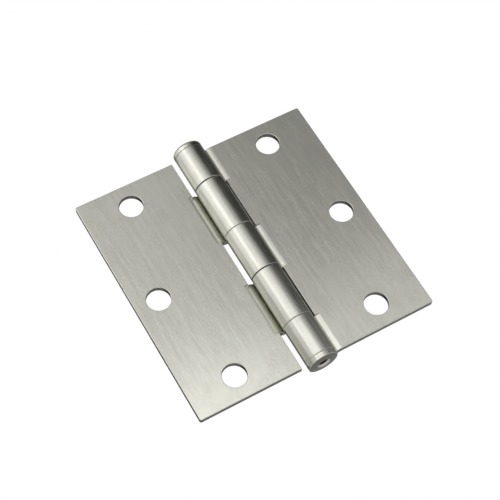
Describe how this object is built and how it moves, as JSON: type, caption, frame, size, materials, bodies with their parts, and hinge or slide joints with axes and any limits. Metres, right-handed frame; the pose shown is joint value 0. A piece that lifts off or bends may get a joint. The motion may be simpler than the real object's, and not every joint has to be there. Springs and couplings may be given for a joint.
{
  "type": "door butt hinge",
  "caption": "Loose-pin butt hinge with two square-cornered swaged leaves, interleaved rolled knuckles, a button-headed lift-out pin and a pressed end plug.",
  "frame": {"origin": "on the pin's axis, halfway up the leaves, which is the centre of the whole hinge's box", "axes": "+Z along the pin, towards its head; -Y out of the hinge's front, where the barrel stands proud; +X along the jamb leaf, away from the pin, with the hinge lying open flat"},
  "size_m": [0.0888, 0.0108, 0.0936],
  "materials": {
    "leaf_steel": "satin nickel, brushed along the pin",
    "pin_steel": "satin nickel, turned"
  },
  "bodies": {
    "jamb": {"jamb_leaf": "leaf_steel", "end_plug": "pin_steel"},
    "door": {"door_leaf": "leaf_steel"},
    "pin": {"hinge_pin": "pin_steel"}
  },
  "joints": [
    {"name": "leaf_swing", "type": "hinge", "parent": "jamb", "child": "door", "pos_m": [0, 0, 0], "axis": [0, 0, 1], "range_deg": [-112, 180]},
    {"name": "pin_lift", "type": "slide", "parent": "jamb", "child": "pin", "axis": [0, 0, 1], "range_m": [0, 0.084]}
  ]
}
